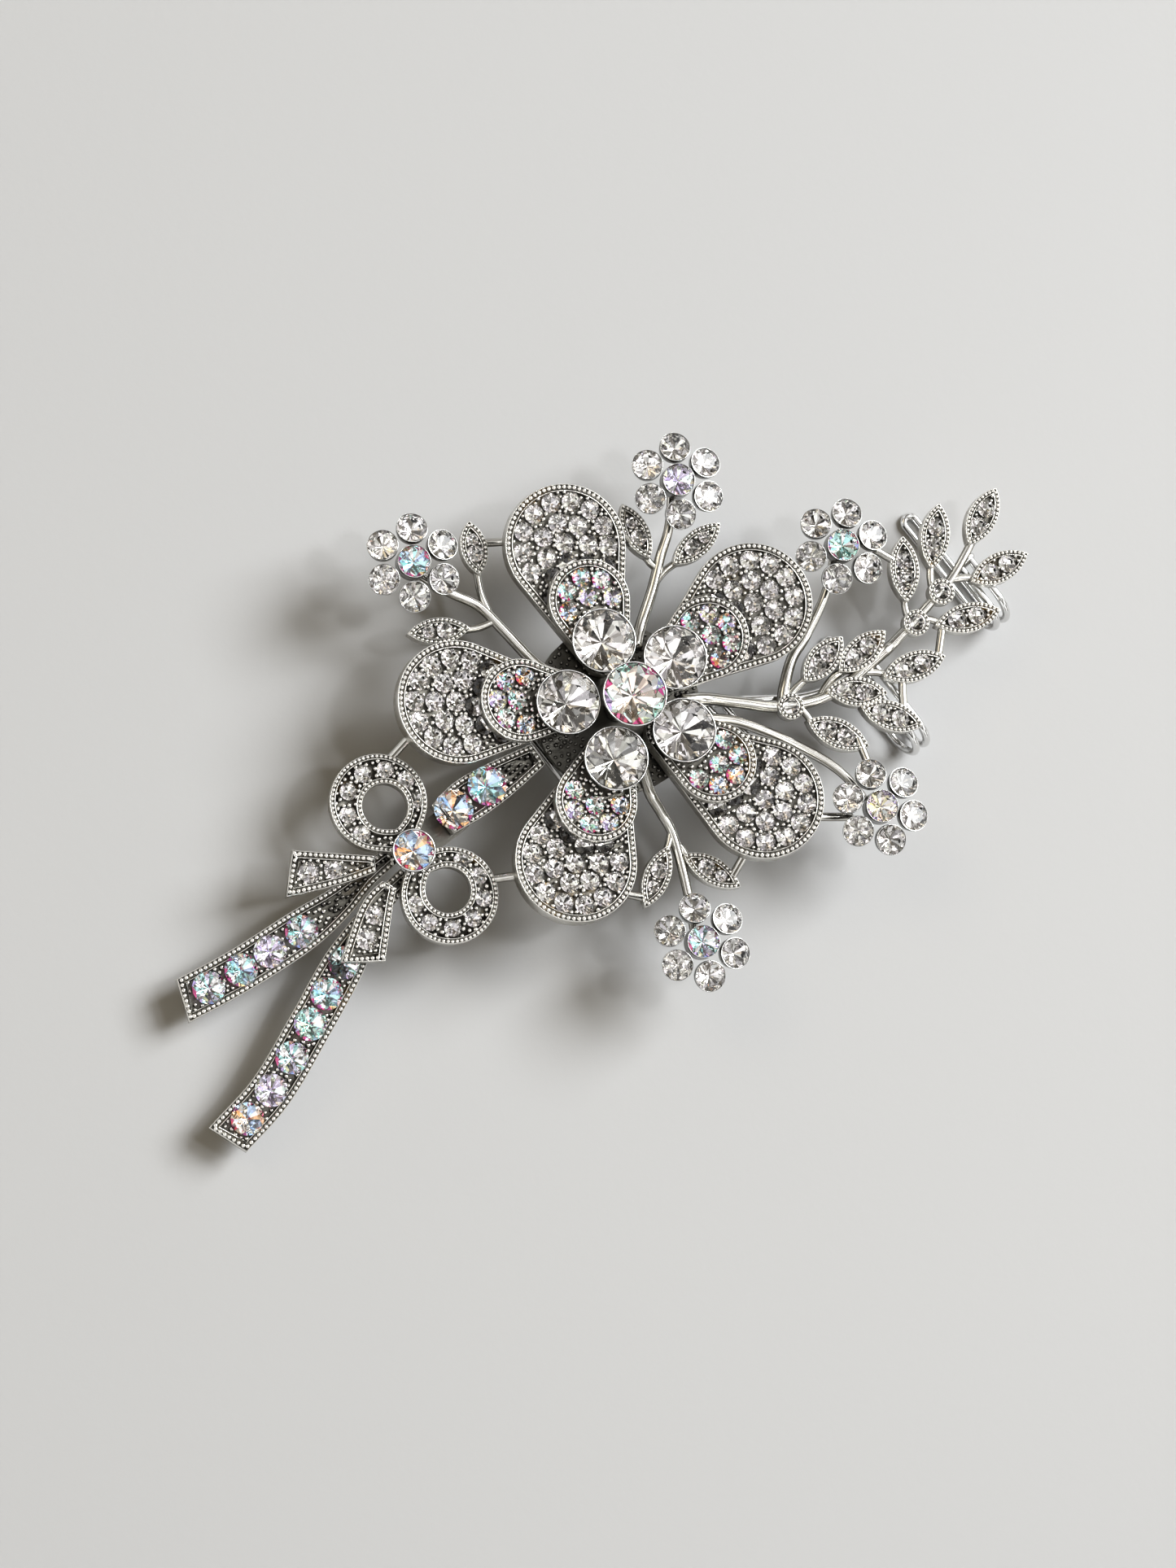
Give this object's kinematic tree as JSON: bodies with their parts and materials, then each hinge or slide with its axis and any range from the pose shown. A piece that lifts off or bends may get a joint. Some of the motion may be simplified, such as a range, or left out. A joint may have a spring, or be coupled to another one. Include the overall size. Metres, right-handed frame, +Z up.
{
  "type": "decorative hair pin",
  "caption": "Stone-set flower and leaf spray with a ribbon bow, soldered to a wire spine with doubled, looped hair prongs.",
  "frame": {"origin": "under the middle of the whole, on the surface that the prongs lie on", "axes": "+X from the ribbon ends to the spray tip, +Y across, +Z up out of the decorated face"},
  "size_m": [0.1182, 0.0654, 0.0188],
  "materials": {
    "darkened_rhodium": "cast, rhodium-bright on the high spots with darkened recesses",
    "polished_rhodium": "polished bright plate",
    "drawn_wire": "smooth plated wire",
    "clear_crystal": "clear cut stone with a foiled back",
    "aurora_crystal": "clear cut stone with an iridescent coating and a foiled back"
  },
  "bodies": {
    "root": {"back_plate": "darkened_rhodium", "outer_petal_1": "darkened_rhodium", "inner_petal_1": "darkened_rhodium", "outer_petal_2": "darkened_rhodium", "inner_petal_2": "darkened_rhodium", "outer_petal_3": "darkened_rhodium", "inner_petal_3": "darkened_rhodium", "outer_petal_4": "darkened_rhodium", "inner_petal_4": "darkened_rhodium", "outer_petal_5": "darkened_rhodium", "inner_petal_5": "darkened_rhodium", "ring_1_cup": "polished_rhodium", "ring_1_stone": "clear_crystal", "ring_2_cup": "polished_rhodium", "ring_2_stone": "clear_crystal", "ring_3_cup": "polished_rhodium", "ring_3_stone": "clear_crystal", "ring_4_cup": "polished_rhodium", "ring_4_stone": "clear_crystal", "ring_5_cup": "polished_rhodium", "ring_5_stone": "clear_crystal", "center_cup": "polished_rhodium", "center_stone": "aurora_crystal", "center_post": "darkened_rhodium", "floret_1_cups": "polished_rhodium", "floret_1_stone": "aurora_crystal", "floret_1_stem": "darkened_rhodium", "floret_2_cups": "polished_rhodium", "floret_2_stone": "aurora_crystal", "floret_2_stem": "darkened_rhodium", "floret_3_cups": "polished_rhodium", "floret_3_stone": "aurora_crystal", "floret_3_stem": "darkened_rhodium", "floret_4_cups": "polished_rhodium", "floret_4_stone": "aurora_crystal", "floret_4_stem": "darkened_rhodium", "floret_5_cups": "polished_rhodium", "floret_5_stone": "aurora_crystal", "floret_5_stem": "darkened_rhodium", "lower_spray": "darkened_rhodium", "upper_spray": "darkened_rhodium", "ribbon_band": "darkened_rhodium", "band_stone_1": "aurora_crystal", "band_stone_2": "aurora_crystal", "bow_loop_left": "darkened_rhodium", "bow_tail_left": "darkened_rhodium", "bow_loop_right": "darkened_rhodium", "bow_tail_right": "darkened_rhodium", "knot_cup": "polished_rhodium", "knot_stone": "aurora_crystal", "bow_strap": "darkened_rhodium", "streamer_1": "darkened_rhodium", "streamer_2": "darkened_rhodium", "comb_spine": "drawn_wire", "prong_1": "drawn_wire", "prong_2": "drawn_wire", "prong_3": "drawn_wire", "prong_4": "drawn_wire"}
  },
  "joints": []
}
